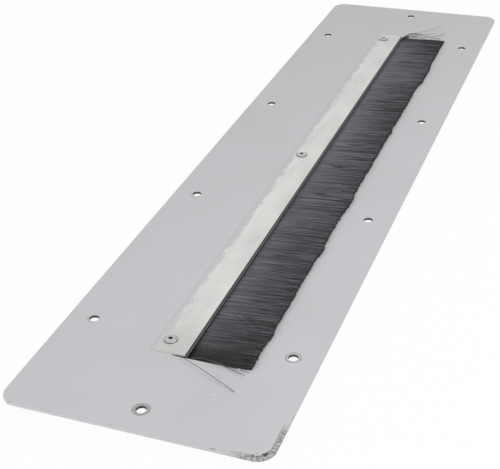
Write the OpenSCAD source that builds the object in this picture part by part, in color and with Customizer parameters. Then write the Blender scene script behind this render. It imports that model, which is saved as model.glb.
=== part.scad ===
// Rack panel with a brush strip over a cable slot. Millimetres, +Z up, +Y along the panel.
// The origin is the middle of the plate's back face.

/* [Plate] */
// Length of the plate
plate_len = 610; // [560:1:700]
// Width of the plate
plate_w = 150; // [140:1:200]
// Thickness of the sheet
plate_t = 1.5; // [1.2:0.1:3]
// Radius of the plate's corners
corner_r = 10; // [2:0.5:14]

/* [Fixing holes] */
// Diameter of the screw clearance holes
hole_d = 5.5; // [4:0.1:6.5]
// Chamfer that breaks the top edge of each hole
hole_break = 0.2; // [0.1:0.05:0.5]
// Number of holes down each long side
hole_rows = 4; // [2:1:4]
// Distance between the holes down each side
hole_pitch = 150; // [120:1:155]
// Distance from the side holes to the long edges
side_inset = 15.5; // [8:0.5:18]
// Distance from the end holes to the short edges
end_inset = 16.5; // [8:0.5:25]

/* [Strip holder] */
// Length of the holder, the backing channel and the row of bristles
strip_len = 478; // [400:1:520]
// Shift of the strip from the plate's middle, along the plate
strip_shift = -3; // [-6:1:6]
// Distance from the plate's centre line to the holder's free edge
holder_edge = 16; // [14:0.5:20]
// Width of the flat flange that is riveted down
flange_w = 13; // [11:0.5:16]
// Wall thickness of the holder
holder_t = 1; // [0.8:0.1:1.5]
// Width of the pocket that takes the backing channel
pocket_w = 7; // [5:0.5:9]
// Fall of the holder's top face across the pocket
lip_drop = 0.2; // [0:0.05:0.4]
// Radius of the holder's free edges
holder_r = 0.3; // [0.1:0.05:0.35]

/* [Strip brush] */
// Height of the folded backing channel
channel_h = 3; // [2.6:0.1:4]
// Sheet thickness of the backing channel
channel_t = 0.45; // [0.3:0.05:0.6]
// Radius of the channel's outer folds
channel_r = 0.7; // [0.65:0.05:1]
// How far the channel stands out of the holder
channel_out = 1.1; // [0.5:0.1:2]
// Diameter of the core wire that the filaments are folded round
wire_d = 0.9; // [0.6:0.05:1]
// Length of the bristles outside the channel
bristle_len = 37.4; // [30:0.2:45]
// Reach of the bristle tips past the slot
tip_overlap = 6.5; // [4:0.5:10]
// Thickness of the row of bristles at the tips
tip_depth = 2.4; // [1.5:0.1:4]
// Width of one tuft
tuft_w = 6; // [4:0.5:12]
// Largest gap between two tufts at the tips
tuft_gap = 0.9; // [0.3:0.1:1.5]
// Unevenness of the trimmed tips
tip_trim = 0.5; // [0.1:0.1:1]
// Sideways sway of the tips along the row
tip_sway = 1.4; // [0:0.1:2]
// Diameter of one stray bristle
stray_d = 0.3; // [0.2:0.05:0.4]

/* [Rivets] */
// Diameter of the rivet shank
rivet_d = 4; // [3:0.1:4.8]
// Diameter of the domed head
rivet_head_d = 7.8; // [7:0.1:9]
// Height of the domed head
rivet_head_h = 1.4; // [0.9:0.1:1.8]
// Thickness of the head's rim
rivet_rim = 0.3; // [0.2:0.05:0.5]
// Diameter of the hole down the rivet
rivet_bore = 2.4; // [1.8:0.1:2.6]
// Diameter of the formed tail
rivet_tail_d = 6.2; // [5.4:0.1:7]
// Height of the formed tail
rivet_tail_h = 2.6; // [2:0.1:4]
// Diameter of the mandrel's head, which stays in the tail
mandrel_head_d = 3.4; // [2.8:0.1:4]
// Height of the mandrel's head
mandrel_h = 1.2; // [0.8:0.1:2]
// Depth of the broken end of the mandrel below the dome
mandrel_deep = 1.4; // [0.6:0.1:2]
// Distance from the holder's free edge to the rivets
rivet_edge = 7; // [6:0.5:8]
// Distance from the strip's ends to the outer rivets
rivet_inset = 10.5; // [6:0.5:30]

/* [Clearances] */
// Gap between the pocket and the slot's side, and between the tips and the plate
slot_gap = 0.5; // [0.2:0.1:1]
// Gap between the strip and each end of the slot
slot_end_gap = 1; // [0.8:0.1:2]
// Gap between a part and the metal that it is pushed into
fit_gap = 0.05; // [0.02:0.01:0.1]
// Gap between the bristle tips and the plate that they brush
rest_gap = 0.1; // [0.05:0.05:0.5]
// Length at each end of the strip where only stray bristles are left
end_room = 0.8; // [0.6:0.1:2]

/* [Hidden] */

$fn = 64;
past = 1; // how far a cut runs past the face that it opens

// Colours
coat_grey = [0.77, 0.77, 0.775];
mill_aluminium = [0.83, 0.825, 0.81];
zinc_grey = [0.5, 0.5, 0.5];
nylon_black = [0.09, 0.09, 0.1];
rivet_grey = [0.74, 0.74, 0.74];
steel_dark = [0.3, 0.3, 0.3];

// Heights
holder_top = plate_t + holder_t;
pocket_top = plate_t; // the pocket's roof is level with the flange
pocket_h = channel_h + 2 * fit_gap;
pocket_low = pocket_top - pocket_h;
holder_low = pocket_low - holder_t;
mid_z = pocket_top - pocket_h / 2; // middle of the channel
bundle_h = channel_h - 2 * channel_t - 2 * fit_gap;
tip_low = plate_t + rest_gap;

// Places across the plate
flange_x = -holder_edge;
pocket_x = flange_x + flange_w;
lip_x = pocket_x + pocket_w;
channel_x = pocket_x + holder_t + fit_gap;
mouth_x = lip_x + channel_out;
wire_x = channel_x + channel_t + fit_gap + bundle_h / 2;
tip_x = mouth_x + bristle_len;
slot_x0 = pocket_x - slot_gap;
slot_x1 = tip_x - tip_overlap;
rivet_x = flange_x + rivet_edge;

// Places along the plate
strip_y0 = strip_shift - strip_len / 2;
strip_y1 = strip_shift + strip_len / 2;
slot_y0 = strip_y0 - slot_end_gap;
slot_y1 = strip_y1 + slot_end_gap;
tuft_y0 = strip_y0 + end_room;
tuft_run = strip_len - 2 * end_room;
tufts = round(tuft_run / tuft_w);
rivet_ys = [strip_y0 + rivet_inset, strip_shift, strip_y1 - rivet_inset];

// Rivet
head_r = (pow(rivet_head_d / 2, 2) + pow(rivet_head_h - rivet_rim, 2)) / (2 * (rivet_head_h - rivet_rim));
mandrel_d = rivet_bore - 2 * fit_gap;
tail_flat = 0.78; // share of the tail's width that is left at its two flat faces

// Uneven but repeatable value between -1 and 1, by turning a golden angle for each copy
golden = 137.5;
function uneven(i, phase) = sin(i * golden + phase);

// Slow sideways sway of the tips at y, a long and a short wave that die out at the strip's ends
long_wave = 150;
short_wave = 46;
sway_fade = 30;
function fade(y) = min(1, (y - strip_y0) / sway_fade, (strip_y1 - y) / sway_fade);
function sway(y) = tip_sway * fade(y) * (sin(360 * y / long_wave) + sin(360 * y / short_wave) / 2);

// Boundary number i between two tufts, at the root and at the tips
function root_y(i) = tuft_y0 + tuft_run * i / tufts;
function tip_y(i) = root_y(i) + sway(root_y(i));

// Half of the gap at boundary number i at the tips, and at the root
least_gap = 0.2; // smallest gap at the tips, as a share of the largest
gap_turn = 20;
function tip_half_gap(i) = tuft_gap / 4 * (1 + least_gap + (1 - least_gap) * uneven(i, gap_turn));
root_half_gap = fit_gap / 2;

// Stray bristles: the end that they leave, then a cubic curve's four points, measured from the
// middle of the channel's mouth at that end of the strip. Near strays run away along -Y.
near_end = -1;
far_end = 1;
strays = [
    [near_end, [[-2.9, -0.2, 0.35], [-6, 2.5, 5.5], [18.5, 11.5, 3.5], [34.8, 19.8, 2.1]]],
    [near_end, [[-0.2, -0.4, -0.5], [4.5, -1.5, 4.5], [20.5, 2.5, 3.5], [35.5, 6.3, 2.7]]],
    [far_end, [[-0.2, -0.4, -0.5], [10.5, 4.5, 8.5], [12.5, 2.5, 4], [33.4, -0.6, 3.5]]],
    [far_end, [[-0.2, -0.4, 0], [2.5, 3, 4.5], [25, -8, 3.5], [34.2, 16.2, 3]]],
    [far_end, [[-0.2, -0.4, 0.5], [3, 2.5, 5], [19, 11.5, 3.5], [29, 31.5, 4]]]
];
stray_rings = 12;
stray_sides = 6;

function curve(p, t) = pow(1 - t, 3) * p[0] + 3 * pow(1 - t, 2) * t * p[1]
    + 3 * (1 - t) * t * t * p[2] + t * t * t * p[3];
function slope(p, t) = pow(1 - t, 2) * (p[1] - p[0]) + 2 * (1 - t) * t * (p[2] - p[1])
    + t * t * (p[3] - p[2]);
function unit(v) = v / norm(v);

// Round corners made of two bars and four discs
module rounded_bar(size, r) {
    translate([r, 0]) square([size[0] - 2 * r, size[1]]);
    translate([0, r]) square([size[0], size[1] - 2 * r]);
    for (x = [r, size[0] - r], y = [r, size[1] - r]) {
        translate([x, y]) circle(r = r);
    }
}

// Section in X and Z, drawn out along the strip
module along_strip(y0, run) {
    translate([0, y0 + run, 0]) rotate([90, 0, 0]) linear_extrude(height = run) children();
}

module screw_hole() {
    translate([0, 0, -past]) cylinder(d = hole_d, h = plate_t + 2 * past);
    translate([0, 0, plate_t - hole_break]) cylinder(d1 = hole_d, d2 = hole_d + 2 * hole_break, h = hole_break);
}

module panel_plate() {
    color(coat_grey) difference() {
        linear_extrude(height = plate_t) translate([-plate_w / 2, -plate_len / 2])
            rounded_bar([plate_w, plate_len], corner_r);
        for (side = [-1, 1], row = [0 : hole_rows - 1]) {
            translate([side * (plate_w / 2 - side_inset), (row - (hole_rows - 1) / 2) * hole_pitch, 0])
                screw_hole();
        }
        for (side = [-1, 1]) {
            translate([0, side * (plate_len / 2 - end_inset), 0]) screw_hole();
        }
        for (y = rivet_ys) {
            translate([rivet_x, y, -past]) cylinder(d = rivet_d + 2 * fit_gap, h = plate_t + 2 * past);
        }
        translate([slot_x0, slot_y0, -past])
            cube([slot_x1 - slot_x0, slot_y1 - slot_y0, plate_t + 2 * past]);
    }
}

module holder_section() {
    difference() {
        union() {
            translate([flange_x, plate_t]) rounded_bar([flange_w + holder_t, holder_t], holder_r);
            polygon([
                [pocket_x, holder_low],
                [lip_x, holder_low],
                [lip_x, holder_top - lip_drop],
                [pocket_x, holder_top]
            ]);
        }
        translate([pocket_x + holder_t, pocket_low]) square([pocket_w + past, pocket_h]);
    }
}

module brush_holder() {
    color(mill_aluminium) difference() {
        along_strip(strip_y0, strip_len) holder_section();
        for (y = rivet_ys) {
            translate([rivet_x, y, plate_t - past])
                cylinder(d = rivet_d + 2 * fit_gap, h = holder_t + 2 * past);
        }
    }
}

module channel_section() {
    inner_h = channel_h - 2 * channel_t;
    inner_r = channel_r - channel_t;
    long = mouth_x - channel_x + channel_r;
    difference() {
        translate([channel_x, mid_z - channel_h / 2]) rounded_bar([long, channel_h], channel_r);
        translate([channel_x + channel_t, mid_z - inner_h / 2]) rounded_bar([long + past, inner_h], inner_r);
        translate([mouth_x, mid_z - channel_h]) square([channel_r + past, 2 * channel_h]);
    }
}

module brush_channel() {
    color(zinc_grey) along_strip(strip_y0, strip_len) channel_section();
}

module core_wire() {
    color(steel_dark) translate([wire_x, strip_y0, mid_z]) rotate([-90, 0, 0])
        cylinder(d = wire_d, h = strip_len);
}

// The bundle in the channel, folded round the wire
root_lap = 0.8; // how far a tuft reaches back into the bundle
module root_section() {
    difference() {
        union() {
            translate([wire_x, mid_z]) circle(d = bundle_h);
            translate([wire_x, mid_z - bundle_h / 2]) square([mouth_x - root_lap - wire_x, bundle_h]);
        }
        translate([wire_x, mid_z]) circle(d = wire_d + 2 * fit_gap);
    }
}

// Side view of a tuft: out of the mouth, up over the slot's edge and on to the tips
tip_lift = 0.5; // how much the tips' height varies from tuft to tuft
low_turn = 90;
high_turn = 45;
module tuft_section(i) {
    trim = tip_trim * uneven(i, 0);
    low = tip_low + tip_lift * (1 + uneven(i, low_turn)) / 2;
    high = tip_low + tip_depth + tip_lift * uneven(i, high_turn);
    polygon([
        [mouth_x - 2 * root_lap, mid_z - bundle_h / 2],
        [mouth_x, mid_z - bundle_h / 2],
        [slot_x1, tip_low],
        [tip_x + trim, low],
        [tip_x + trim, high],
        [mouth_x, mid_z + bundle_h / 2],
        [mouth_x - 2 * root_lap, mid_z + bundle_h / 2]
    ]);
}

// Top view of a tuft: it narrows from the mouth to the tips
module tuft_plan(i) {
    far_x = tip_x + 2 * tip_trim;
    polygon([
        [mouth_x - 3 * root_lap, root_y(i) + root_half_gap],
        [mouth_x, root_y(i) + root_half_gap],
        [far_x, tip_y(i) + tip_half_gap(i)],
        [far_x, tip_y(i + 1) - tip_half_gap(i + 1)],
        [mouth_x, root_y(i + 1) - root_half_gap],
        [mouth_x - 3 * root_lap, root_y(i + 1) - root_half_gap]
    ]);
}

module tuft(i) {
    reach = tip_depth + 2 * channel_h;
    intersection() {
        along_strip(root_y(i) - tuft_w, 3 * tuft_w) tuft_section(i);
        translate([0, 0, mid_z - reach]) linear_extrude(height = 2 * reach) tuft_plan(i);
    }
}

module bristles() {
    color(nylon_black) union() {
        along_strip(tuft_y0, tuft_run) root_section();
        for (i = [0 : tufts - 1]) {
            tuft(i);
        }
    }
}

// Tube swept along a stray bristle's curve
module stray(s) {
    side = s[0];
    base = [mouth_x, side < 0 ? strip_y0 : strip_y1, mid_z];
    p = [for (q = s[1]) base + [q[0], side * q[1], q[2]]];
    rings = [for (k = [0 : stray_rings]) let (
        t = k / stray_rings,
        ahead = unit(slope(p, t)),
        across = unit(cross(ahead, [0, 0, 1])),
        up = cross(across, ahead)
    ) for (a = [0 : stray_sides - 1])
        curve(p, t) + stray_d / 2 * (cos(360 * a / stray_sides) * across + sin(360 * a / stray_sides) * up)];
    last = stray_rings * stray_sides;
    skin = [for (k = [0 : stray_rings - 1], a = [0 : stray_sides - 1]) let (
        b = (a + 1) % stray_sides,
        k0 = k * stray_sides,
        k1 = k0 + stray_sides
    ) [k0 + a, k1 + a, k1 + b, k0 + b]];
    polyhedron(
        points = rings,
        faces = concat(
            skin,
            [[for (a = [0 : stray_sides - 1]) a]],
            [[for (a = [stray_sides - 1 : -1 : 0]) last + a]]
        )
    );
}

module stray_bristles() {
    color(nylon_black) for (s = strays) {
        stray(s);
    }
}

// Domed head, shank through both sheets and the tail formed behind the plate
module rivet(y) {
    tail_mid = -rivet_tail_h / 2;
    tail_r = rivet_tail_d / 2;
    translate([rivet_x, y, 0]) difference() {
        union() {
            translate([0, 0, holder_top]) cylinder(d = rivet_head_d, h = rivet_rim);
            intersection() {
                translate([0, 0, holder_top + rivet_head_h - head_r]) sphere(r = head_r);
                translate([0, 0, holder_top + rivet_rim]) cylinder(d = rivet_head_d, h = rivet_head_h);
            }
            cylinder(d = rivet_d, h = holder_top + rivet_rim / 2);
            rotate_extrude() polygon([
                [0, 0],
                [tail_r * tail_flat, 0],
                [tail_r, tail_mid / 2],
                [tail_r, tail_mid * 3 / 2],
                [tail_r * tail_flat, 2 * tail_mid],
                [0, 2 * tail_mid]
            ]);
        }
        translate([0, 0, -rivet_tail_h - past])
            cylinder(d = rivet_bore, h = holder_top + rivet_tail_h + rivet_head_h + 2 * past);
    }
}

// Broken stem inside the rivet and the head that formed its tail
module mandrel(y) {
    stem_top = holder_top + rivet_head_h - mandrel_deep;
    translate([rivet_x, y, 0]) {
        translate([0, 0, -rivet_tail_h - fit_gap]) cylinder(d = mandrel_d, h = rivet_tail_h + fit_gap + stem_top);
        translate([0, 0, -rivet_tail_h - mandrel_h]) cylinder(d = mandrel_head_d, h = mandrel_h - fit_gap);
    }
}

panel_plate();
brush_holder();
brush_channel();
core_wire();
bristles();
stray_bristles();
color(rivet_grey) rivet(rivet_ys[0]);  // rivet_near
color(rivet_grey) rivet(rivet_ys[1]);  // rivet_middle
color(rivet_grey) rivet(rivet_ys[2]);  // rivet_far
color(steel_dark) mandrel(rivet_ys[0]);  // mandrel_near
color(steel_dark) mandrel(rivet_ys[1]);  // mandrel_middle
color(steel_dark) mandrel(rivet_ys[2]);  // mandrel_far
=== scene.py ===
# Looks of a rack panel with a riveted strip brush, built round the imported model.
# Metres, +Z up, +Y along the panel, +X towards the bristle tips.
import math

import bpy
import numpy as np
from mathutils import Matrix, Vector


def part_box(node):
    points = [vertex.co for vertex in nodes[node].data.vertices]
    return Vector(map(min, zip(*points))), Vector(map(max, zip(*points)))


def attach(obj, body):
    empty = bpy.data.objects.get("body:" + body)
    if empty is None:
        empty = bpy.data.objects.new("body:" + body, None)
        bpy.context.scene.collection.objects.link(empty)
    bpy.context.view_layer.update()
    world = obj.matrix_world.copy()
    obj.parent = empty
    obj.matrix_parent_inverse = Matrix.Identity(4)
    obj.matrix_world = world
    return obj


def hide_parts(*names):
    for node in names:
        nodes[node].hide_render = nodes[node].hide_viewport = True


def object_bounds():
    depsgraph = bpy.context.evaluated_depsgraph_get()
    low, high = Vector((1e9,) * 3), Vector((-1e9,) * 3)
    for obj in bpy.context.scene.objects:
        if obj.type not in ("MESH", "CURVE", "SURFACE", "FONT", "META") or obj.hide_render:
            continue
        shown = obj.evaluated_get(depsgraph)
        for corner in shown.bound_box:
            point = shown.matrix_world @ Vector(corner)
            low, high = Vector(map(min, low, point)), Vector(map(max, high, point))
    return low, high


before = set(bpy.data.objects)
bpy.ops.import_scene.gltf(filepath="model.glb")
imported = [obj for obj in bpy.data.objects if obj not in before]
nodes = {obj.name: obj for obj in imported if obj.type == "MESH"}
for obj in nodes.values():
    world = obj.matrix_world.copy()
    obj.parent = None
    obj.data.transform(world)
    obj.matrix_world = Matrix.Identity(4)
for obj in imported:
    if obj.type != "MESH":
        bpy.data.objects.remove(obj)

mm = 0.001
scene = bpy.context.scene
cadBox = [list(corner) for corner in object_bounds()]
print("frame loaded:", len(nodes), "nodes")

# ---- camera, floor and light ----

camera = {
    "lens": 80,  # on a 36 mm sensor
    "place": (0.2158, -0.6695, 0.3667),
    "turn": (58.59, 2.13, 20.53),  # degrees
}

studio = {
    "floorSize": 8,
    "floorTone": 0.8,
    "floorLift": 0.96,  # share of plain white that the camera sees in the floor
    "ambient": 0.48,
    "lamps": [  # name, place, size, power
        ("topLamp", (0.62, -0.18, 0.85), 0.8, 6.5),
        ("fillLamp", (-0.55, -1.15, 0.35), 0.7, 7.0),
    ],
}


def makeCamera():
    data = bpy.data.cameras.new("camera")
    data.lens = camera["lens"]
    data.sensor_width = 36
    data.dof.use_dof = False
    obj = bpy.data.objects.new("camera", data)
    obj.location = camera["place"]
    obj.rotation_euler = [math.radians(a) for a in camera["turn"]]
    scene.collection.objects.link(obj)
    scene.camera = obj


def seenDirectly(tree):  # 1 for camera, glossy and transmission rays, and 0 for the rays that carry light
    path = tree.nodes.new("ShaderNodeLightPath")
    either = calc(tree, "MAXIMUM", path.outputs["Is Camera Ray"], path.outputs["Is Glossy Ray"])
    return calc(tree, "MAXIMUM", either, path.outputs["Is Transmission Ray"])


def calc(tree, operation, *values):  # one Math node, fed by numbers or by other nodes' outputs
    node = tree.nodes.new("ShaderNodeMath")
    node.operation = operation
    for socket, value in zip(node.inputs, values):
        feed(tree, value, socket)
    return node.outputs[0]


def feed(tree, value, socket):
    if isinstance(value, bpy.types.NodeSocket):
        tree.links.new(value, socket)
    else:
        socket.default_value = value


def makeWorld():
    world = bpy.data.worlds.new("studioWorld")
    world.use_nodes = True
    tree = world.node_tree
    tree.nodes.clear()
    soft = tree.nodes.new("ShaderNodeBackground")
    soft.inputs["Color"].default_value = (1, 1, 1, 1)
    soft.inputs["Strength"].default_value = studio["ambient"]
    white = tree.nodes.new("ShaderNodeBackground")
    white.inputs["Color"].default_value = (1, 1, 1, 1)
    mix = tree.nodes.new("ShaderNodeMixShader")
    feed(tree, seenDirectly(tree), mix.inputs[0])
    feed(tree, soft.outputs[0], mix.inputs[1])
    feed(tree, white.outputs[0], mix.inputs[2])
    out = tree.nodes.new("ShaderNodeOutputWorld")
    feed(tree, mix.outputs[0], out.inputs[0])
    scene.world = world


def makeFloor(height):
    half = studio["floorSize"] / 2
    mesh = bpy.data.meshes.new("floor")
    corners = [(-half, -half, height), (half, -half, height), (half, half, height), (-half, half, height)]
    mesh.from_pydata(corners, [], [(0, 1, 2, 3)])
    obj = bpy.data.objects.new("floor", mesh)
    scene.collection.objects.link(obj)
    mat = bpy.data.materials.new("floorPaint")
    mat.use_nodes = True
    tree = mat.node_tree
    tree.nodes.clear()
    paint = tree.nodes.new("ShaderNodeBsdfDiffuse")
    paint.inputs["Color"].default_value = [studio["floorTone"]] * 3 + [1]
    white = tree.nodes.new("ShaderNodeEmission")
    mix = tree.nodes.new("ShaderNodeMixShader")
    feed(tree, calc(tree, "MULTIPLY", seenDirectly(tree), studio["floorLift"]), mix.inputs[0])
    feed(tree, paint.outputs[0], mix.inputs[1])
    feed(tree, white.outputs[0], mix.inputs[2])
    out = tree.nodes.new("ShaderNodeOutputMaterial")
    feed(tree, mix.outputs[0], out.inputs[0])
    mesh.materials.append(mat)


def makeLamps():
    for name, place, size, power in studio["lamps"]:
        data = bpy.data.lights.new(name, "AREA")
        data.size = size
        data.energy = power
        obj = bpy.data.objects.new(name, data)
        obj.location = place
        obj.rotation_euler = (-obj.location).to_track_quat("-Z", "Y").to_euler()
        scene.collection.objects.link(obj)


scene.view_settings.view_transform = "Standard"
makeCamera()
makeWorld()
makeFloor(cadBox[0][2])
makeLamps()
print("camera, floor and light made")

# ---- small helpers for materials ----


def newMaterial(name, roughness, metallic=0.0):
    mat = bpy.data.materials.new(name)
    mat.use_nodes = True
    tree = mat.node_tree
    tree.nodes.clear()
    out = tree.nodes.new("ShaderNodeOutputMaterial")
    shader = tree.nodes.new("ShaderNodeBsdfPrincipled")
    feed(tree, shader.outputs[0], out.inputs[0])
    feed(tree, roughness, shader.inputs["Roughness"])
    feed(tree, metallic, shader.inputs["Metallic"])
    return mat, tree, shader


def position(tree, scale=(1, 1, 1)):  # the point in the panel's frame, stretched by scale
    where = tree.nodes.new("ShaderNodeTexCoord").outputs["Object"]
    if scale == (1, 1, 1):
        return where
    node = tree.nodes.new("ShaderNodeVectorMath")
    node.operation = "MULTIPLY"
    feed(tree, where, node.inputs[0])
    feed(tree, scale, node.inputs[1])
    return node.outputs[0]


def axes(tree, vector):
    node = tree.nodes.new("ShaderNodeSeparateXYZ")
    feed(tree, vector, node.inputs[0])
    return node.outputs


def noise(tree, vector, scale, detail=2.0):
    node = tree.nodes.new("ShaderNodeTexNoise")
    feed(tree, vector, node.inputs["Vector"])
    feed(tree, scale, node.inputs["Scale"])
    feed(tree, detail, node.inputs["Detail"])
    return node.outputs[0]


def step(tree, value, low, high):  # smooth step from 0 at low to 1 at high
    node = tree.nodes.new("ShaderNodeMapRange")
    node.interpolation_type = "SMOOTHSTEP"
    feed(tree, value, node.inputs["Value"])
    feed(tree, low, node.inputs["From Min"])
    feed(tree, high, node.inputs["From Max"])
    return node.outputs[0]


def fall(tree, value, low, high):  # 1 below low, 0 above high
    return calc(tree, "SUBTRACT", 1.0, step(tree, value, low, high))


def blendColours(tree, factor, first, second):
    node = tree.nodes.new("ShaderNodeMix")
    node.data_type = "RGBA"
    feed(tree, factor, node.inputs[0])
    for socket, value in ((node.inputs[6], first), (node.inputs[7], second)):
        feed(tree, value if isinstance(value, bpy.types.NodeSocket) else (*value, 1), socket)
    return node.outputs[2]


def blendValues(tree, factor, first, second):  # first + factor * (second - first)
    return calc(tree, "MULTIPLY_ADD", factor, calc(tree, "SUBTRACT", second, first), first)


def largest(tree, values):
    total = values[0]
    for value in values[1:]:
        total = calc(tree, "MAXIMUM", total, value)
    return total


def bump(tree, height, distance, shader):
    node = tree.nodes.new("ShaderNodeBump")
    feed(tree, distance, node.inputs["Distance"])
    feed(tree, height, node.inputs["Height"])
    feed(tree, node.outputs[0], shader.inputs["Normal"])


def setMaterial(obj, mat):
    obj.data.materials.clear()
    obj.data.materials.append(mat)


# ---- plate: light grey coat, plain holes with painted shade on their walls and the marks of screw heads, and a scuffed corner ----

plate = {
    "coat": (0.518, 0.522, 0.54),
    "coatDull": (0.498, 0.502, 0.518),
    "roughness": 0.45,
    "wornRoughness": 0.7,
    "bumpDepth": 0.012 * mm,
    "bare": (0.2, 0.2, 0.2),
    # near black, for the chips and for the painted shade on the holes' walls
    "dark": (0.03, 0.03, 0.032),
    "scuff": (0.24, 0.25, 0.235),
    "sand": (0.47, 0.48, 0.445),
    "cornerR": 10 * mm,
    "sideInset": 15.5 * mm,
    "endInset": 16.5 * mm,
    "pitch": 150 * mm,
    "holeR": 2.75 * mm,
    "holeBreak": 0.2 * mm,
    # noises: scale and detail
    "cloud": (14.0, 3.0),
    "grain": (900.0, 2.0),
    "crumbs": (700.0, 3.0),
    "patches": (620.0, 3.0),
    "spots": (1100.0, 2.0),
    # marks of screw heads: middle and radius in mm, darkness of the disc and of its outline, and the
    # direction in which the mark shows best
    "headMarks": [
        ((0, -288.5), 4.7, 0.6, 0.75, (0, 0)),
        ((59.5, -225), 4.3, 0.04, 0.8, (0, 0)),
        ((-59.5, -225), 3.9, 0.04, 0.5, (-0.7, -0.7)),
        ((-59.4, -76), 3.9, 0.0, 0.5, (-0.8, -0.6)),
        ((-59.5, 75), 3.8, 0.0, 0.15, (-0.8, -0.6)),
        ((0, 288.5), 4.0, 0.1, 0.25, (0.9, 0)),
    ],
    "markCrumble": 0.9 * mm,  # how far noise moves a mark's edge
    "scuffAt": (72 * mm, -296 * mm),
    "scuffReach": 23 * mm,
    "scuffWide": 2.6 * mm,
    "scuffCrumble": 1.6 * mm,
    "chips": [  # x, y, length and width in mm, turn in degrees, darkness
        (70.8, -299.8, 3.0, 1.9, 48, 1.0), (67.7, -302.4, 1.9, 1.1, 35, 0.8),
        (65.4, -302.9, 1.9, 1.0, -60, 0.85), (69.3, -301.4, 2.0, 0.9, 35, 0.5),
        (66.5, -300.6, 1.4, 1.0, 20, 0.28), (71.8, -297.3, 2.6, 0.9, 60, 0.55),
        (72.6, -294.6, 2.4, 0.9, 75, 0.55), (73.1, -291.4, 2.6, 0.7, 80, 0.35),
        (73.8, -287.6, 3.8, 0.9, 88, 0.4), (73.8, -283.0, 3.4, 0.7, 90, 0.35),
        (72.8, -299.0, 1.3, 0.7, 60, 0.5), (63.4, -303.4, 2.4, 0.7, 8, 0.3),
        (45.3, -304.1, 3.4, 0.9, 0, 0.5), (-67.6, -304.2, 2.6, 0.8, 15, 0.35),
        (-9.3, -304.1, 1.6, 0.7, 0, 0.3), (74.3, -297.2, 1.6, 0.6, 75, 0.4),
        (74.5, -270.5, 4.0, 0.6, 90, 0.25),
    ],
    "chipCrumble": 1.6,  # how far noise moves a chip's outline, as a share of its size
    "specks": [  # x, y and radius in mm, tone
        (30.8, -266.6, 0.9, 0.75), (32.3, -266.7, 0.6, 0.3), (31.1, -254.2, 0.7, 0.7), (-2.2, -250.4, 0.5, 0.7),
    ],
}


def distanceTo(tree, flat, x, y):
    node = tree.nodes.new("ShaderNodeVectorMath")
    node.operation = "DISTANCE"
    feed(tree, flat, node.inputs[0])
    feed(tree, (x, y, 0), node.inputs[1])
    return node.outputs["Value"]


def dot(tree, vector, direction):
    node = tree.nodes.new("ShaderNodeVectorMath")
    node.operation = "DOT_PRODUCT"
    feed(tree, vector, node.inputs[0])
    feed(tree, direction, node.inputs[1])
    return node.outputs["Value"]


def ovalAway(tree, flat, x, y, length, width, turn):  # 0 at the middle of an oval in mm, 1 on its outline
    u = (math.cos(math.radians(turn)), math.sin(math.radians(turn)))
    halves = (length / 2 * mm, width / 2 * mm)
    squares = []
    for (a, b), half in zip((u, (-u[1], u[0])), halves):
        along = calc(tree, "SUBTRACT", dot(tree, flat, (a / half, b / half, 0)), (a * x + b * y) * mm / half)
        squares.append(calc(tree, "MULTIPLY", along, along))
    return calc(tree, "SQRT", calc(tree, "ADD", *squares))


def rimDistance(tree, x, y, half):
    # distance in from the plate's outline: outside the middle of a corner's arc it is the corner radius
    # less the distance to that middle, and elsewhere the distance to the nearer edge
    inX = calc(tree, "SUBTRACT", calc(tree, "ABSOLUTE", x), half.x - plate["cornerR"])
    inY = calc(tree, "SUBTRACT", calc(tree, "ABSOLUTE", y), half.y - plate["cornerR"])
    outX = calc(tree, "MAXIMUM", inX, 0.0)
    outY = calc(tree, "MAXIMUM", inY, 0.0)
    square = calc(tree, "ADD", calc(tree, "MULTIPLY", outX, outX), calc(tree, "MULTIPLY", outY, outY))
    return calc(tree, "SUBTRACT", plate["cornerR"], calc(tree, "SQRT", square))


def holeDistance(tree, x, y, half):
    # distance to the nearest hole: the side holes repeat with the pitch, the end holes lie on the middle line
    farX = calc(tree, "ABSOLUTE", x)
    farY = calc(tree, "ABSOLUTE", y)
    foldY = calc(tree, "SUBTRACT", calc(tree, "MODULO", farY, plate["pitch"]), plate["pitch"] / 2)
    sideX = calc(tree, "SUBTRACT", farX, half.x - plate["sideInset"])
    side = calc(tree, "ADD", calc(tree, "MULTIPLY", sideX, sideX), calc(tree, "MULTIPLY", foldY, foldY))
    endY = calc(tree, "SUBTRACT", farY, half.y - plate["endInset"])
    end = calc(tree, "ADD", calc(tree, "MULTIPLY", x, x), calc(tree, "MULTIPLY", endY, endY))
    return calc(tree, "SQRT", calc(tree, "MINIMUM", side, end))


def headMark(tree, flat, crumbs, middle, radius, disc, outline, side):
    # a disc with a darker outline, both with a ragged edge, which fades away from one side
    cx, cy = middle[0] * mm, middle[1] * mm
    away = calc(tree, "MULTIPLY_ADD", crumbs, plate["markCrumble"], distanceTo(tree, flat, cx, cy))
    filled = calc(tree, "MULTIPLY", fall(tree, away, (radius + 0.2) * mm, (radius + 0.7) * mm), disc)
    offLine = calc(tree, "ABSOLUTE", calc(tree, "SUBTRACT", away, (radius + 0.3) * mm))
    line = calc(tree, "MULTIPLY", fall(tree, offLine, 0.1 * mm, 0.55 * mm), outline)
    mark = calc(tree, "MAXIMUM", filled, line)
    if side != (0, 0):
        lean = calc(tree, "SUBTRACT", dot(tree, flat, (side[0], side[1], 0)), side[0] * cx + side[1] * cy)
        mark = calc(tree, "MULTIPLY", mark, step(tree, lean, -0.3 * radius * mm, 0.8 * radius * mm))
    return mark


def spot(tree, flat, x, y, radius):  # 1 at the middle of a round spot in mm, 0 from its radius on
    return fall(tree, distanceTo(tree, flat, x * mm, y * mm), 0.3 * radius * mm, radius * mm)


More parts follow.
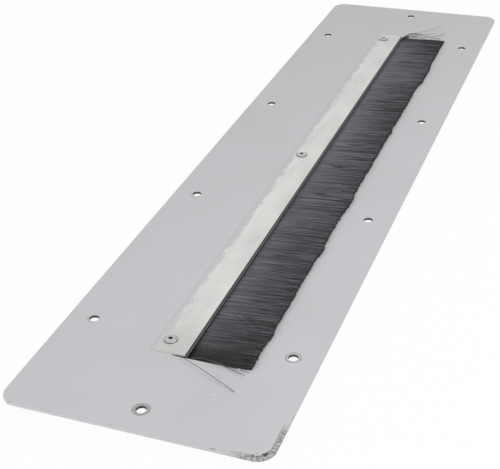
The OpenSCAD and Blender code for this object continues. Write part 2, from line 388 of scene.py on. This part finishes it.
def plateFinish():
    mat, tree, shader = newMaterial("greyCoat", plate["roughness"])
    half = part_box("panel_plate")[1]
    where = position(tree)
    flat = position(tree, (1, 1, 0))
    x, y = axes(tree, where)[:2]
    cloud, grain, crumbs, patches, spots = (
        noise(tree, where, *plate[key]) for key in ("cloud", "grain", "crumbs", "patches", "spots"))
    colour = blendColours(tree, step(tree, cloud, 0.35, 0.75), plate["coat"], plate["coatDull"])

    # scuffed band along the rim at one corner, and the darker line along its inner side
    reach, wide = plate["scuffReach"], plate["scuffWide"]
    nearCorner = fall(tree, distanceTo(tree, flat, *plate["scuffAt"]), reach * 0.5, reach)
    ragged = calc(tree, "MULTIPLY_ADD", crumbs, plate["scuffCrumble"], rimDistance(tree, x, y, half))
    scuff = calc(tree, "MULTIPLY", fall(tree, ragged, wide, wide + 0.9 * mm), nearCorner)
    wornCoat = blendColours(tree, step(tree, patches, 0.4, 0.6), plate["scuff"], plate["sand"])
    colour = blendColours(tree, calc(tree, "MULTIPLY", scuff, 0.85), colour, wornCoat)
    offFold = calc(tree, "ABSOLUTE", calc(tree, "SUBTRACT", ragged, wide + 0.7 * mm))
    foldLine = fall(tree, offFold, 0.1 * mm, 0.6 * mm)
    fold = calc(tree, "MULTIPLY", foldLine, calc(tree, "MULTIPLY", nearCorner, 0.4))

    # chips have ragged outlines: noise is added to the distance from their middle
    pits = calc(tree, "MULTIPLY", step(tree, spots, 0.55, 0.64), scuff)
    chips = [fold, calc(tree, "MULTIPLY", pits, 0.6)]
    for cx, cy, length, width, turn, dark in plate["chips"]:
        oval = ovalAway(tree, flat, cx, cy, length, width, turn)
        away = calc(tree, "MULTIPLY_ADD", crumbs, plate["chipCrumble"], oval)
        chips.append(calc(tree, "MULTIPLY", fall(tree, away, 1.5, 2.3), dark))
    chipped = largest(tree, chips)
    colour = blendColours(tree, chipped, colour, plate["dark"])
    for cx, cy, radius, tone in plate["specks"]:
        speck = calc(tree, "MULTIPLY", spot(tree, flat, cx, cy, radius), 0.6)
        colour = blendColours(tree, speck, colour, (tone, tone, tone))

    marks = largest(tree, [headMark(tree, flat, crumbs, *mark) for mark in plate["headMarks"]])
    colour = blendColours(tree, marks, colour, plate["bare"])
    holeAway = holeDistance(tree, x, y, half)
    broken = plate["holeR"] + plate["holeBreak"]
    edge = fall(tree, holeAway, broken, broken + 0.1 * mm)
    # painted shade: the holes' walls are painted near black
    wallShade = fall(tree, holeAway, plate["holeR"] + 0.02 * mm, plate["holeR"] + 0.08 * mm)
    colour = blendColours(tree, edge, colour, plate["bare"])
    colour = blendColours(tree, wallShade, colour, plate["dark"])
    feed(tree, colour, shader.inputs["Base Color"])
    worn = largest(tree, [scuff, marks])
    feed(tree, blendValues(tree, worn, plate["roughness"], plate["wornRoughness"]), shader.inputs["Roughness"])
    # chips and worn coat lie four grains deep
    height = calc(tree, "MULTIPLY_ADD", largest(tree, [chipped, worn]), -4.0, grain)
    bump(tree, height, plate["bumpDepth"], shader)
    setMaterial(nodes["panel_plate"], mat)


plateFinish()
print("plate finished")

# ---- holder, channel, wire and rivets: plain metals, with painted shade along the holder's lip and painted highlight and shade on the rivets ----

metals = {
    "holder": (0.69, 0.68, 0.662),
    "holderDull": (0.585, 0.58, 0.57),
    "holderPale": (0.69, 0.68, 0.66),
    "holderMetallic": 0.25,
    "holderRoughness": (0.45, 0.6),
    "edgeBand": (0.51, 0.514, 0.53),  # a ragged band along the flange's free edge, in about the coat's tone
    "edgeBandWide": 2.4 * mm,
    "edgeBandRagged": 9 * mm,
    "dirtyEnd": (0.5, 0.497, 0.485),
    "dirtyFull": 20 * mm,
    "dirtyReach": 52 * mm,
    "dirtyRagged": 20 * mm,
    # painted shade along the holder's lip
    "lipShade": (0.03, 0.03, 0.03),
    "zinc": (0.17, 0.17, 0.178),
    "wire": (0.3, 0.3, 0.3),
    "steelMetallic": 0.8,
    "rivet": (0.44, 0.435, 0.42),
    # painted highlight round the rivets' holes
    "rivetLight": (0.56, 0.555, 0.54),
    # grime on the holder's marks, and painted shade on the rivets
    "grimeAndShade": (0.07, 0.066, 0.06),
    "mandrel": (0.03, 0.029, 0.027),
    "mandrelLight": (0.09, 0.085, 0.08),
    # noises: scale and detail
    "drawnLines": (1300.0, 2.0),
    "cloud": (70.0, 3.0),
    "blotch": (38.0, 3.0),
    "ragged": (150.0, 4.0),
    "steelLines": (1400.0, 2.0),
    "scratch": (900.0, 3.0),
    "tarnish": (420.0, 2.0),
    "broken": (2500.0, 2.0),
    "holderMarks": [  # x, y, radius in mm, darkness
        (-1.5, 131.0, 0.9, 0.4), (-2.0, -178.0, 0.7, 0.3), (-12.0, -120.0, 1.0, 0.2), (-5.5, -207, 0.8, 0.2),
    ],
}


def holderFinish():  # drawn lines run along the strip, so the noise is stretched along Y
    mat, tree, shader = newMaterial("drawnAluminium", 0.5, metals["holderMetallic"])
    low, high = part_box("brush_holder")
    where = position(tree)
    flat = position(tree, (1, 1, 0))
    x, y = axes(tree, where)[:2]
    lines = noise(tree, position(tree, (1, 0.02, 1)), *metals["drawnLines"])
    cloud = noise(tree, position(tree, (1, 0.4, 1)), *metals["cloud"])
    blotch = noise(tree, where, *metals["blotch"])
    ragged = noise(tree, where, *metals["ragged"])
    dull = calc(tree, "MULTIPLY_ADD", lines, 0.25, calc(tree, "MULTIPLY", cloud, 0.75))
    colour = blendColours(tree, step(tree, dull, 0.36, 0.66), metals["holder"], metals["holderDull"])
    pale = calc(tree, "MULTIPLY", step(tree, blotch, 0.5, 0.72), 0.5)
    colour = blendColours(tree, pale, colour, metals["holderPale"])
    uneven = calc(tree, "MULTIPLY_ADD", blotch, metals["dirtyRagged"], y)
    dirty = fall(tree, uneven, low.y + metals["dirtyFull"], low.y + metals["dirtyReach"])
    colour = blendColours(tree, calc(tree, "MULTIPLY", dirty, 0.8), colour, metals["dirtyEnd"])
    # a ragged band along the flange's free edge, painted in about the coat's tone
    edgeBandAway = calc(tree, "MULTIPLY_ADD", ragged, metals["edgeBandRagged"], calc(tree, "SUBTRACT", x, low.x))
    edge = metals["edgeBandWide"] + metals["edgeBandRagged"] / 2  # the noise is about a half on average
    edgeBand = fall(tree, edgeBandAway, edge, edge + 1.2 * mm)
    colour = blendColours(tree, calc(tree, "MULTIPLY", edgeBand, 0.95), colour, metals["edgeBand"])
    marks = []
    for cx, cy, radius, dark in metals["holderMarks"]:
        marks.append(calc(tree, "MULTIPLY", spot(tree, flat, cx, cy, radius), dark))
    colour = blendColours(tree, largest(tree, marks), colour, metals["grimeAndShade"])
    # painted shade: a near black band along the lip's edge
    lipShadeBand = step(tree, x, high.x - 0.25 * mm, high.x - 0.08 * mm)
    colour = blendColours(tree, calc(tree, "MULTIPLY", lipShadeBand, 0.9), colour, metals["lipShade"])
    feed(tree, colour, shader.inputs["Base Color"])
    feed(tree, blendValues(tree, lines, *metals["holderRoughness"]), shader.inputs["Roughness"])
    bump(tree, lines, 0.01 * mm, shader)
    setMaterial(nodes["brush_holder"], mat)


def drawnSteel(name, tone, roughness):
    mat, tree, shader = newMaterial(name, roughness, metals["steelMetallic"])
    lines = noise(tree, position(tree, (1, 0.03, 1)), *metals["steelLines"])
    dark = tuple(c * 0.7 for c in tone)
    feed(tree, blendColours(tree, step(tree, lines, 0.35, 0.7), tone, dark), shader.inputs["Base Color"])
    bump(tree, lines, 0.008 * mm, shader)
    return mat


def rivetFinish(node):  # scratched dome with a painted highlight round its hole, painted shade in the hole and under the rim, and specks of grime
    low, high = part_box(node)
    middle = (low + high) / 2
    radius = (high.x - low.x) / 2
    mat, tree, shader = newMaterial("rivetAluminium_" + node.split("_")[1], 0.3, 0.55)
    away = distanceTo(tree, position(tree, (1, 1, 0)), middle.x, middle.y)
    scratch = noise(tree, position(tree), *metals["scratch"])
    tarnish = noise(tree, position(tree), *metals["tarnish"])
    # painted highlight: the ring round the hole is painted lighter, broken up by noise
    ringHighlight = fall(tree, away, 0.45 * radius, 0.62 * radius)
    ringHighlight = calc(tree, "MULTIPLY", ringHighlight, step(tree, tarnish, 0.35, 0.6))
    colour = blendColours(tree, ringHighlight, metals["rivet"], metals["rivetLight"])
    # painted shade: darker towards the dome's rim and round its hole; the scratch spots are grime
    rim = step(tree, away, 0.86 * radius, 0.97 * radius)
    mouth = fall(tree, away, 0.28 * radius, 0.38 * radius)
    spots = step(tree, scratch, 0.6, 0.75)
    shares = ((rim, 0.85), (mouth, 0.85), (spots, 0.45))
    shadeAndGrime = largest(tree, [calc(tree, "MULTIPLY", mask, share) for mask, share in shares])
    feed(tree, blendColours(tree, shadeAndGrime, colour, metals["grimeAndShade"]), shader.inputs["Base Color"])
    bump(tree, scratch, 0.02 * mm, shader)
    setMaterial(nodes[node], mat)


def mandrelFinish():
    mat, tree, shader = newMaterial("mandrelSteel", 0.55, 0.6)
    rough = noise(tree, position(tree), *metals["broken"])
    colour = blendColours(tree, rough, metals["mandrel"], metals["mandrelLight"])
    feed(tree, colour, shader.inputs["Base Color"])
    bump(tree, rough, 0.05 * mm, shader)
    return mat


holderFinish()
setMaterial(nodes["brush_channel"], drawnSteel("zincSteel", metals["zinc"], 0.45))
setMaterial(nodes["core_wire"], drawnSteel("wireSteel", metals["wire"], 0.35))
mandrelSteel = mandrelFinish()
for end in ("near", "middle", "far"):
    rivetFinish("rivet_" + end)
    setMaterial(nodes["mandrel_" + end], mandrelSteel)
print("metals finished")

# ---- filaments ----

brush = {
    "seed": 11,
    "width": 0.28 * mm,  # of one filament
    "layers": 6,
    "pitch": 0.285 * mm,  # between filaments of one layer, along the strip
    "rings": 10,
    "sides": 3,
    "pieces": ("near", "middle", "far"),
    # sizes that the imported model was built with
    "endRoom": 0.8 * mm,  # at each end of the strip, without bristles
    "slotGap": 1 * mm,  # from the channel's end to the slot's end
    "restGap": 0.1 * mm,  # between the tips and the plate
    "tipOverlap": 6.5 * mm,  # of the tips past the slot
    "tipDepth": 2.4 * mm,
    "cadTrim": 0.5 * mm,
    # course of the filaments
    "rootIn": 0.8 * mm,  # how far a filament starts inside the channel
    "lean": 0.8 * mm,
    "leanWaves": (0.15, 0.061, 0.034),
    "fadeIn": 25 * mm,  # from the row's ends, where lean and scatter are least
    "stray": 0.3 * mm,  # sideways scatter of the tips
    "wild": 1.5 * mm,  # the same for the few that cross the others
    "wildShare": 0.05,
    "ripple": 0.1 * mm,
    "bulge": 0.22 * mm,
    "bulgeWaves": (0.009, 0.023, 0.041),
    "unevenTop": 0.07 * mm,
    # tips' edge
    "setBack": 0.3 * mm,
    "trim": 0.2 * mm,
    "trimWave": 0.2 * mm,
    "trimWaves": (0.013, 0.031, 0.07),
    "lobes": [  # y, half width and stand-out, in mm
        (-213, 4, 0.9), (-120, 6, 1.0), (-61, 11, 1.1), (-8, 6, 0.6), (50, 2.5, 0.7), (160, 22, 1.4),
        (147, 4, 0.6), (200, 17, 0.4),
    ],
    "notches": 150,
    "notchDepth": (0.1, 0.9),  # least and most, in mm
    "notchWidth": (0.15, 0.9),
    # partings: y, start and end across in mm, width in mm, slant in mm
    "partings": [
        (-217.5, 18, 44, 0.9, 0.5), (-168, 26, 44, 0.6, 0.5), (-147.5, 10, 44, 0.35, 0.8),
        (-78, 32, 44, 0.6, 0), (-50, 15, 27, 0.9, 2), (-47, 33, 44, 0.8, 0.5), (-40, 28, 44, 0.6, 0),
        (-17, 34, 44, 0.7, 0.5), (-11, 16, 29, 0.7, 1.5), (1, 18, 44, 0.8, 0.5), (24, 15, 34, 0.9, 0.5),
        (42, 35, 44, 0.9, 0), (86, 9, 44, 1.0, 3), (121, 24, 44, 0.6, 1.5), (134, 6, 44, 0.6, 2),
        (158, 22, 44, 0.6, 0.5), (180, 14, 44, 0.6, 0.5), (207.5, 20, 44, 0.8, 0.5),
    ],
    "partingWiden": 1.25,
    "partingSpread": 3.5 * mm,
    "partingDrop": 0.7 * mm,
    # seeded partings: number, spread, least and most width, and drop, in mm
    "smallPartings": [(125, 1.6, (0.15, 0.6), 0.35), (420, 0.55, (0.08, 0.3), 0.2)],
    # dust, and in the same attribute painted sheen and painted shade
    "black": (0.008, 0.008, 0.009),
    "dustAndPaintedLight": (0.168, 0.169, 0.189),
    "dustAndLightTable": [  # y in mm, then the share of dust and painted sheen at the roots, halfway and at the tips; the zeros at the row's ends are painted shade
        (-241, 0, 0, 0), (-234, 0.06, 0.1, 0.06), (-226, 0.45, 0.34, 0.32), (-200, 0.8, 0.49, 0.52),
        (-130, 0.76, 0.47, 0.51), (-60, 0.64, 0.66, 0.67), (30, 0.94, 0.56, 0.44), (100, 0.84, 0.6, 0.4),
        (170, 0.92, 0.83, 0.75), (215, 0.84, 0.42, 0.33), (227, 0.55, 0.3, 0.22), (232, 0.15, 0.1, 0.08),
        (236, 0, 0, 0),
    ],
    "sheenAndShadeAlong": ([0, 0.12, 0.93, 1], [1.5, 1, 1, 0.5]),  # shares of the run, and factors on the dust there: a painted sheen at the roots and painted shade at the tips
    "leastDustAndLight": 0.02,
    "endShade": 2 * mm,  # at the row's ends, painted shade that keeps them dark
    "streaks": 1300,
    # the row's ends
    "swelling": [  # x, and how far the near end stands out there, in mm
        (5, 0), (11.6, 0.5), (18.4, 1.3), (25, 1.8), (31.4, 2.0), (37.5, 1.5), (42.2, 0.7),
    ],
    "nearRounding": 0.5 * mm,
    "farRounding": 0.9 * mm,
    "roundingRun": 1.6 * mm,
    "farCorner": 2 * mm,  # how far the last tips turn in
    "farCornerRun": 4 * mm,
    "swellingRun": 3 * mm,
}


def brushSizes():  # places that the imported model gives
    channelLow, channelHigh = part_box("brush_channel")
    bristleLow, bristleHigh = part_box("bristles")
    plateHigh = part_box("panel_plate")[1]
    return {
        "mouth": channelHigh.x,
        "tip": bristleHigh.x - brush["cadTrim"],
        "midZ": (channelLow.z + channelHigh.z) / 2,
        "halfRoot": -bristleLow.z + (channelLow.z + channelHigh.z) / 2,
        "start": channelLow.y + brush["endRoom"],
        "end": channelHigh.y - brush["endRoom"],
        "rest": plateHigh.z + brush["restGap"],
    }


def tubes(lines, radius, sides):
    # round tubes along many centre lines at once: each ring is a circle square to the line's own direction,
    # turned from a sideways and an upright unit vector. lines has the shape (tubes, rings, 3), and radius
    # is one number or one for each tube
    count, rings, _ = lines.shape
    ahead = np.gradient(lines, axis=1)
    ahead /= np.linalg.norm(ahead, axis=2, keepdims=True)
    across = np.cross(ahead, (0, 0, 1.0))
    across /= np.linalg.norm(across, axis=2, keepdims=True)
    upright = np.cross(across, ahead)
    angle = np.arange(sides) * 2 * math.pi / sides + math.pi / 2
    ring = (np.cos(angle)[:, None] * across[:, :, None, :] + np.sin(angle)[:, None] * upright[:, :, None, :])
    points = lines[:, :, None, :] + np.reshape(radius, (-1, 1, 1, 1)) * ring
    index = np.arange(count * rings * sides).reshape(count, rings, sides)
    after = np.roll(index, -1, axis=2)
    quads = np.stack([index[:, :-1], after[:, :-1], after[:, 1:], index[:, 1:]], axis=-1).reshape(-1, 4)
    caps = np.concatenate([index[:, 0, ::-1], index[:, -1]])
    return points.reshape(-1, 3), quads, caps


def meshPiece(name, points, quads, caps, mat, attributes):
    mesh = bpy.data.meshes.new(name)
    corners = np.concatenate([quads.ravel(), caps.ravel()]).astype(np.int32)
    sizes = np.concatenate([np.full(len(quads), 4), np.full(len(caps), caps.shape[1])])
    starts = np.concatenate([[0], np.cumsum(sizes)[:-1]]).astype(np.int32)
    mesh.vertices.add(len(points))
    mesh.vertices.foreach_set("co", points.astype(np.float32).ravel())
    mesh.loops.add(len(corners))
    mesh.loops.foreach_set("vertex_index", corners)
    mesh.polygons.add(len(sizes))
    mesh.polygons.foreach_set("loop_start", starts)
    mesh.polygons.foreach_set("use_smooth", np.arange(len(sizes)) < len(quads))
    mesh.update(calc_edges=True)
    mesh.validate()
    for key, values in attributes.items():
        mesh.attributes.new(key, "FLOAT", "POINT").data.foreach_set("value", values.astype(np.float32))
    mesh.materials.append(mat)
    obj = bpy.data.objects.new(name, mesh)
    scene.collection.objects.link(obj)
    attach(obj, "root")
    return obj


def filamentFinish():  # black nylon, grey where the dust attribute is high; that attribute holds dust, painted sheen at the roots and painted shade at the row's ends, tips and partings
    mat, tree, shader = newMaterial("blackNylon", 0.38)
    dustAndPaintedLight = tree.nodes.new("ShaderNodeAttribute")
    dustAndPaintedLight.attribute_name = "dustAndPaintedLight"
    dustAndLightColour = blendColours(tree, dustAndPaintedLight.outputs["Fac"], brush["black"], brush["dustAndPaintedLight"])
    feed(tree, dustAndLightColour, shader.inputs["Base Color"])
    return mat


def wave(rng, y, lengths):  # sum of slow sine waves along the strip, about -1 to 1
    total = np.zeros_like(y)
    for length in lengths:
        total += np.sin(2 * math.pi * y / length + rng.uniform(0, 2 * math.pi))
    return total / math.sqrt(len(lengths))


def part(row, run, depth, middle, start, stop, width, slant, spread, drop):
    # opens a parting in a row (y, z, dust): filaments move away from its line by half its width, dying out
    # with distance, and those at its edges sink and lose their dust, which paints shade along the parting. It
    # opens from start and closes again at stop, both as shares of the run
    y, z, dustAndPaintedLight = row
    away = y - (middle + slant * (run - 1))
    opening = np.clip((run - start) / max(0.15, min(0.5, 1 - start)), 0, 1)
    if stop < 1:
        opening = np.sin(math.pi * np.clip((run - start) / (stop - start), 0, 1))
    opening = opening * opening * (3 - 2 * opening) * depth
    aside = np.sign(away) * width / 2 * np.exp(-np.abs(away) / spread) * opening
    sunk = drop * np.exp(-(away / (0.6 * spread)) ** 2) * opening
    # painted shade: the parting's edges lose their dust
    edge = np.exp(-(away / (0.35 * width + 0.15 * mm)) ** 2) * opening
    return y + aside, z - sunk, dustAndPaintedLight * (1 - 0.85 * edge)


def streak(y, run, middle, start, stop, width, slant, gain):
    # factor on the dust and painted light: 1 plus gain times a bell curve across the filaments, faded in at start
    # and out at stop. Besides random tone, the streaks paint sheen where gain is above 0 and shade where it is below
    away = y - (middle + slant * (run - 1))
    window = np.clip((run - start) / 0.08, 0, 1) * np.clip((stop - run) / 0.08, 0, 1)
    return 1 + gain * np.exp(-(away / width) ** 2) * window


def spreadDustAndLight(root, depth, run):  # blends the three columns of the table of dust and painted light, on the top filaments only
    table = np.array(brush["dustAndLightTable"])
    atRoot, halfway, atTip = (np.interp(root, table[:, 0] * mm, column)[:, None] for column in table[:, 1:].T)
    dustAndPaintedLight = atRoot + (halfway - atRoot) * np.clip((run - 0.1) / 0.4, 0, 1)
    dustAndPaintedLight += (atTip - halfway) * np.clip((run - 0.5) / 0.35, 0, 1)
    # lighter at the roots, a painted sheen, and darker at the tips, a painted shade
    return dustAndPaintedLight * np.clip((depth - 0.55) / 0.35, 0, 1)[:, None] * np.interp(run, *brush["sheenAndShadeAlong"])


def trimTips(rng, root, size):  # x of each tip: broad lobes, narrow notches and each filament's own unevenness
    tip = size["tip"] - brush["setBack"] + rng.normal(0, brush["trim"], len(root))
    tip += brush["trimWave"] * wave(rng, root, brush["trimWaves"])
    for y, half, out in brush["lobes"]:
        tip += out * mm * np.exp(-((root - y * mm) / (half * mm)) ** 6)
    for place in rng.uniform(size["start"], size["end"], brush["notches"]):
        deep = rng.uniform(*brush["notchDepth"]) * mm
        wide = rng.uniform(*brush["notchWidth"]) * mm
        tip -= deep * np.exp(-((root - place) / wide) ** 2)
    return tip


def runFilaments(rng, root, depth, fade, tip, size):
    # centre lines, as arrays of filaments by rings. x runs straight from the mouth to the tip, z keeps a
    # share of the way from the lowest line to the highest, and y is the root's, plus a lean and a scatter
    # that grow with the run. A ripple and slow and random changes of height come on top
    count = len(root)
    radius = brush["width"] / 2
    run = np.linspace(0, 1, brush["rings"])[None, :] ** 0.9
    begin = size["mouth"] - brush["rootIn"]
    x = begin + run * (tip[:, None] - begin)
    grown = np.clip((x - size["mouth"]) / (size["tip"] - size["mouth"]), 0, 1)
    low = np.interp(x, [size["mouth"], size["tip"] - brush["tipOverlap"], size["tip"]],
                    [size["midZ"] - size["halfRoot"] + radius, size["rest"] + radius, size["rest"] + radius])
    top = np.interp(x, [size["mouth"], size["tip"]],
                    [size["midZ"] + size["halfRoot"] - radius, size["rest"] + brush["tipDepth"] - radius])
    z = low + depth[:, None] * (top - low)
    wild = rng.random(count) < brush["wildShare"]
    lean = brush["lean"] * fade * wave(rng, root, brush["leanWaves"])
    scatter = rng.normal(0, 1, count) * np.where(wild, brush["wild"], brush["stray"]) * (0.3 + 0.7 * fade)
    y = root[:, None] + (lean + scatter)[:, None] * grown ** 1.3
    y += brush["ripple"] * np.sin(6 * grown + rng.uniform(0, 6.3, count)[:, None]) * grown
    bulge = wave(rng, root, brush["bulgeWaves"])
    z += (brush["bulge"] * bulge * depth)[:, None] * grown
    z += (rng.normal(0, brush["unevenTop"], count) * depth)[:, None] * grown
    return x, y, z, low, grown


def openPartings(rng, row, grown, depth, size):
    above = np.clip((depth - 0.3) / 0.4, 0.12, 1)[:, None]
    reach = (size["tip"] - size["mouth"]) / mm
    offset = size["mouth"] / mm
    for middle, start, stop, width, slant in brush["partings"]:
        row = part(row, grown, above, middle * mm, (start - offset) / reach, (stop - offset) / reach,
                   brush["partingWiden"] * width * mm, slant * mm, brush["partingSpread"], brush["partingDrop"])
    for number, spread, widths, drop in brush["smallPartings"]:
        places = rng.uniform(size["start"], size["end"], number)
        starts = rng.beta(2.2, 1.6, number)
        lengths = rng.uniform(0.25, 1.4, number)
        for middle, start, length in zip(places, starts, lengths):
            row = part(row, grown, above, middle, start, start + length, rng.uniform(*widths) * mm,
                       rng.normal(0, 0.7 * mm), spread * mm, drop * mm)
    return row


def streakDustAndLight(rng, y, dustAndPaintedLight, grown, size):
    # streaks of random tone, which also paint sheen and shade along the filaments
    for middle in rng.uniform(size["start"], size["end"], brush["streaks"]):
        start = rng.triangular(-0.3, 0.55, 0.9)
        stop = start + rng.uniform(0.15, 0.8)
        width = rng.uniform(0.1, 0.45) * mm
        slant = rng.normal(0, 0.9 * mm)
        gain = np.clip(rng.normal(-0.12, 0.5), -0.9, 0.8)
        dustAndPaintedLight = dustAndPaintedLight * streak(y, grown, middle, start, stop, width, slant, gain)
    return dustAndPaintedLight


def shapeEnds(x, y, z, low, grown, depth, fromNear, fromFar, size):
    # the row's two ends round over, the near one swells, the last tips at the far one turn in, and what lies
    # below the plate's face stays inside the slot
    rounding = brush["nearRounding"] * np.exp(-fromNear / brush["roundingRun"])
    rounding += brush["farRounding"] * np.exp(-fromFar / brush["roundingRun"])
    z = np.maximum(z - (rounding * depth)[:, None] * np.clip(grown * 1.5, 0, 1), low)
    swelling = np.array(brush["swelling"]) * mm
    y = y - np.interp(x, swelling[:, 0], swelling[:, 1]) * np.exp(-fromNear / brush["swellingRun"])[:, None]
    y -= (brush["farCorner"] * np.exp(-fromFar / brush["farCornerRun"]))[:, None] * np.clip((grown - 0.8) / 0.2, 0, 1)
    radius = brush["width"] / 2
    slotNear = size["start"] - brush["endRoom"] - brush["slotGap"] + radius
    slotFar = size["end"] + brush["endRoom"] + brush["slotGap"] - radius
    return np.where(z < size["rest"] + radius, np.clip(y, slotNear, slotFar), y), z


def makeBristles(mat):
    rng = np.random.default_rng(brush["seed"])
    size = brushSizes()
    columns = int((size["end"] - size["start"]) / brush["pitch"])
    column, layer = (a.ravel() for a in np.meshgrid(np.arange(columns), np.arange(brush["layers"])))
    count = len(column)
    root = size["start"] + (column + 0.5 + rng.uniform(-0.4, 0.4, count)) * brush["pitch"]
    depth = (layer + 0.5 + rng.uniform(-0.35, 0.35, count)) / brush["layers"]  # 0 below, 1 on top
    fromNear, fromFar = root - size["start"], size["end"] - root
    fromEnd = np.minimum(fromNear, fromFar)
    fade = np.clip(fromEnd / brush["fadeIn"], 0, 1)

    tip = trimTips(rng, root, size)
    x, y, z, low, grown = runFilaments(rng, root, depth, fade, tip, size)
    y, z, dustAndPaintedLight = openPartings(rng, (y, z, spreadDustAndLight(root, depth, grown)), grown, depth, size)
    dustAndPaintedLight = streakDustAndLight(rng, y, dustAndPaintedLight, grown, size)
    dustAndPaintedLight = dustAndPaintedLight * np.clip(1 + 0.3 * rng.normal(0, 1, count), 0.2, 1.6)[:, None]
    # the row's ends are painted darker: painted shade
    dustAndPaintedLight = dustAndPaintedLight * (1 - 0.8 * np.exp(-(fromEnd / brush["endShade"]) ** 2))[:, None] + brush["leastDustAndLight"]
    y, z = shapeEnds(x, y, z, low, grown, depth, fromNear, fromFar, size)

    lines = np.stack([x, y, z], axis=-1)
    bounds = np.linspace(size["start"], size["end"], len(brush["pieces"]) + 1)
    for name, first, last in zip(brush["pieces"], bounds[:-1], bounds[1:]):
        chosen = (root >= first) & (root < last)
        points, quads, caps = tubes(lines[chosen], brush["width"] / 2, brush["sides"])
        values = np.repeat(dustAndPaintedLight[chosen].ravel(), brush["sides"])
        piece = meshPiece("bristles_" + name, points, quads, caps, mat, {"dustAndPaintedLight": values})
        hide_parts("bristles")
    print("bristles made:", count, "filaments")


# ---- stray filaments ----

strays = {
    "rings": 22,
    "sides": 5,
    # width in mm and dust, then a curve's four points in mm, from the middle of the channel's mouth at one
    # end
    "near": [
        (0.34, 0.12, [(-2.9, -0.2, 0.35), (-6, 2.5, 5.5), (18.5, 11.5, 3.5), (34.8, 19.8, 2.1)]),
        (0.34, 0.12, [(-0.2, -0.4, -0.5), (4.5, -1.5, 4.5), (20.5, 2.5, 3.5), (35.5, 6.3, 2.7)]),
        (0.24, 0.3, [(-0.2, -0.4, 0.1), (6, -0.2, 3.4), (16, 0.8, 4), (30, 2.4, 2.6)]),
    ],
    "far": [
        (0.3, 0.2, [(-0.2, -0.4, -0.5), (10.5, 4.5, 8.5), (12.5, 2.5, 4), (33.4, -0.6, 3.5)]),
        (0.3, 0.2, [(-0.2, -0.4, 0), (2.5, 3, 4.5), (25, -8, 3.5), (34.2, 16.2, 3)]),
        (0.24, 0.25, [(-0.2, -0.4, 0.5), (3, 2.5, 5), (19, 11.5, 3.5), (29, 31.5, 4)]),
        (0.24, 0.3, [(-0.2, -0.4, 0.25), (4, -1.5, 4), (17.5, 0.5, 4.5), (26.7, 11.4, 4)]),
        (0.24, 0.3, [(-0.2, -0.4, 0.1), (8, 0.2, 4.5), (16.9, 2.4, 3.4), (20.7, -2.8, 3.05)]),
        (0.24, 0.2, [(-0.2, -0.4, 0.1), (3, 0.5, 3.5), (8, 4, 4.5), (13, 2.5, 3.5)]),
        (0.24, 0.2, [(-0.2, -0.3, -0.2), (2.5, 1, 3.5), (8, 5, 5), (15.5, 4.2, 3.6)]),
        (0.24, 0.3, [(-0.2, -0.5, 0.35), (2, 1.2, 4), (7, 6, 5), (17.5, 6.8, 3.4)]),
        (0.24, 0.3, [(-0.2, -0.3, 0.2), (1.5, 1.5, 3.5), (5, 6, 4.5), (12, 8, 3.2)]),
    ],
    # the same for curves that lie on the row or beside it, in the panel's own frame
    "lying": [
        (0.28, 0.0, [(9, -216, 2.4), (18, -213.2, 4.1), (28, -215, 4.3), (39.5, -220.2, 3.9)]),
        (0.26, 0.5, [(5.9, -190.4, 1.5), (14, -196, 3.6), (22, -203, 4.6), (31.3, -210, 4.6)]),
        (0.26, 0.5, [(5.7, -62.9, 1.5), (9, -54, 3.4), (15, -49, 4.2), (22.9, -48.6, 3.9)]),
        (0.26, 0.5, [(9, 93, 1.8), (18, 96, 3.6), (28, 92, 4.4), (39, 95, 4.6)]),
        (0.26, 0.5, [(8, -20, 1.7), (16, -24, 3.6), (26, -22, 4.4), (36, -26, 4.6)]),
        (0.24, 0.25, [(29, 233, 2.8), (32, 237.5, 3.2), (35, 238.5, 3.2), (38.3, 236.6, 3)]),
        (0.2, 0.6, [(22, -241.5, 2.2), (28, -243.8, 2.1), (33, -246, 1.9), (38, -246.5, 1.75)]),
        (0.2, 0.6, [(30, -242.4, 2.2), (34, -243.8, 2), (38, -244.6, 1.9), (41.5, -244.3, 1.75)]),
    ],
    "cluster": 18,  # short broken filaments at the far end
    "clusterWidth": 0.24,
}


def curves(points):  # cubic curves through arrays of four control points each, shape (curves, 4, 3)
    t = np.linspace(0, 1, strays["rings"])[None, :, None]
    a, b, c, d = (points[:, None, k] for k in range(4))
    return (1 - t) ** 3 * a + 3 * (1 - t) ** 2 * t * b + 3 * (1 - t) * t * t * c + t ** 3 * d


def makeStrays(mat):
    size = brushSizes()
    near = np.array((size["mouth"], size["start"] - brush["endRoom"], size["midZ"]))
    far = np.array((size["mouth"], size["end"] + brush["endRoom"], size["midZ"]))
    rows = strays["near"] + strays["far"] + strays["lying"]
    nearShapes, farShapes, lyingShapes = (
        np.array([points for width, dustAndPaintedLight, points in strays[key]]) * mm for key in ("near", "far", "lying"))
    rng = np.random.default_rng(5)
    ends = rng.uniform((2, -0.6, 1.5), (6.5, 2.4, 3.6), (strays["cluster"], 3)) * mm
    steps = np.array((0, 0.3, 0.7, 1))  # shares of the way from the root
    cluster = far + np.array((-0.2, -0.5, 0)) * mm + ends[:, None, :] * steps[None, :, None]
    lines = curves(np.concatenate([near + nearShapes * (1, -1, 1), far + farShapes, lyingShapes, cluster]))
    widths = [width for width, dustAndPaintedLight, points in rows] + [strays["clusterWidth"]] * strays["cluster"]
    dusts = [dustAndPaintedLight for width, dustAndPaintedLight, points in rows] + [0.1] * strays["cluster"]
    points, quads, caps = tubes(lines, np.array(widths) / 2 * mm, strays["sides"])
    values = np.repeat(dusts, strays["rings"] * strays["sides"])
    piece = meshPiece("stray_filaments", points, quads, caps, mat, {"dustAndPaintedLight": values})
    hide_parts("stray_bristles")
    print("strays made:", len(lines))


nylon = filamentFinish()
makeBristles(nylon)
makeStrays(nylon)
